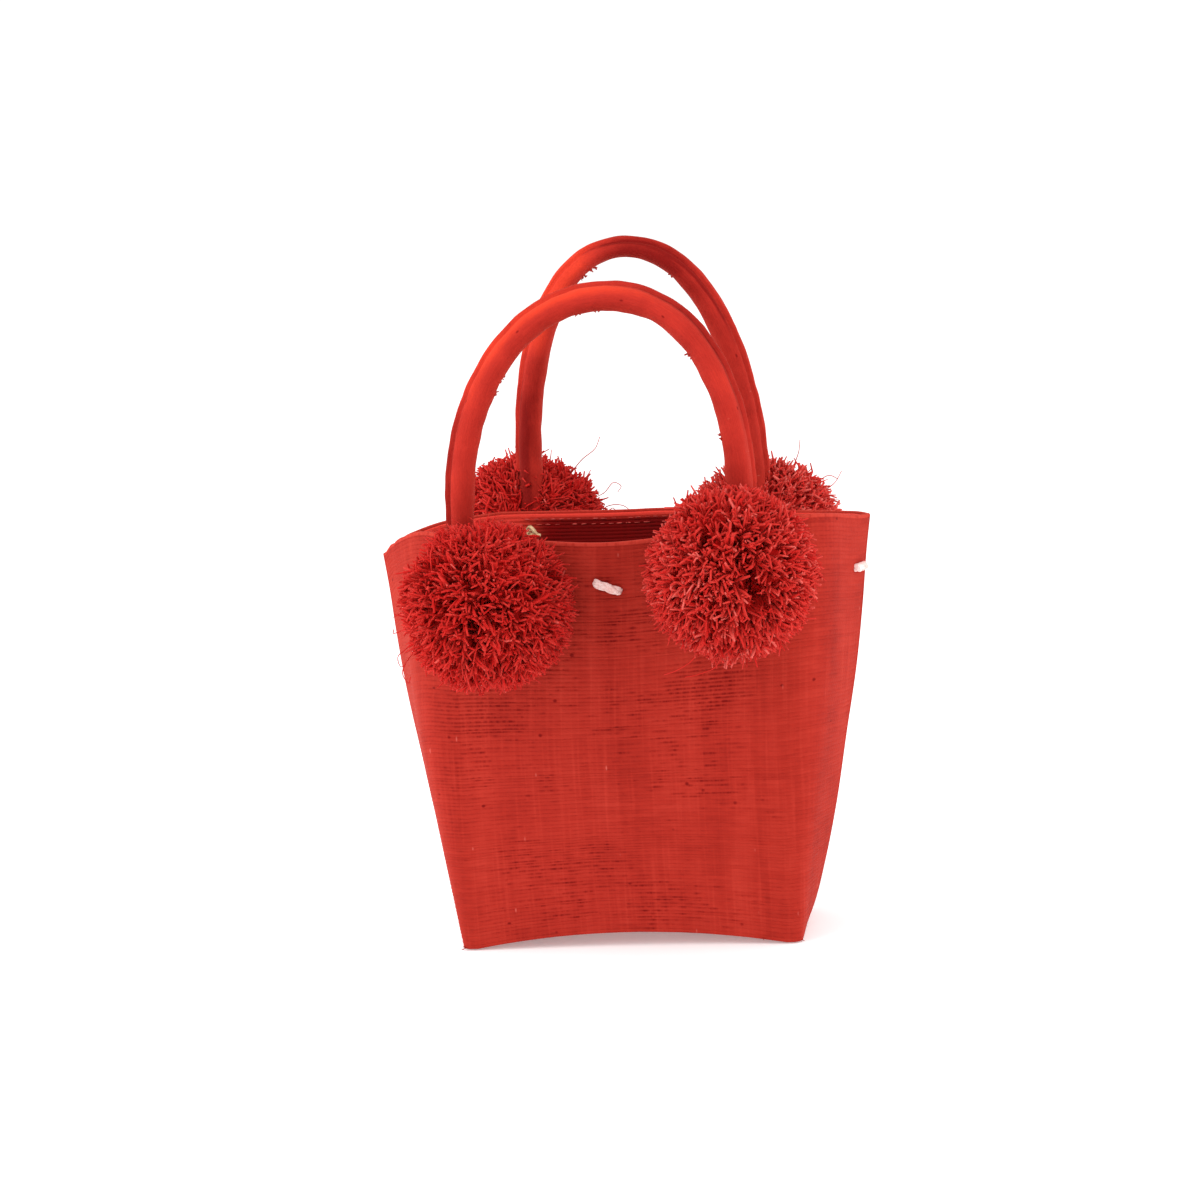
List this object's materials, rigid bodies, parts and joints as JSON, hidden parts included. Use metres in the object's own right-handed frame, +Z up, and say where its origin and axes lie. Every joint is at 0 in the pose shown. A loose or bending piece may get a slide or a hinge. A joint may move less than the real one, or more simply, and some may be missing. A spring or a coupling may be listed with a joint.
{
  "type": "raffia tote bag with pompoms",
  "caption": "Small flared tote of woven raffia cloth with an open mouth, padded arched handles sewn to the outside, and raffia pompoms over the handle ends.",
  "frame": {"origin": "on the floor, under the middle of the whole bag's box", "axes": "+Z up, +X to the right as seen from the front, front face towards -Y"},
  "size_m": [0.2402, 0.2252, 0.3407],
  "materials": {
    "red_raffia_cloth": "plain-woven raffia cloth with fine weft ribs",
    "red_handle_cloth": "fine raffia cloth wrapped round a cord, with a lengthwise seam",
    "red_raffia_strands": "cut loose raffia strands",
    "white_cord": "smooth twisted cord",
    "natural_raffia": "undyed raffia"
  },
  "bodies": {
    "root": {"front_panel": "red_raffia_cloth", "back_panel": "red_raffia_cloth", "base_panel": "red_raffia_cloth", "rim_hem": "red_raffia_cloth", "handle_front": "red_handle_cloth", "handle_back": "red_handle_cloth", "pompom_front_left": "red_raffia_strands", "pompom_front_right": "red_raffia_strands", "pompom_back_left": "red_raffia_strands", "pompom_back_right": "red_raffia_strands", "tack_front": "white_cord", "tack_back": "white_cord", "tack_left": "white_cord", "tack_right": "white_cord", "knot_back_left": "natural_raffia"}
  },
  "joints": []
}
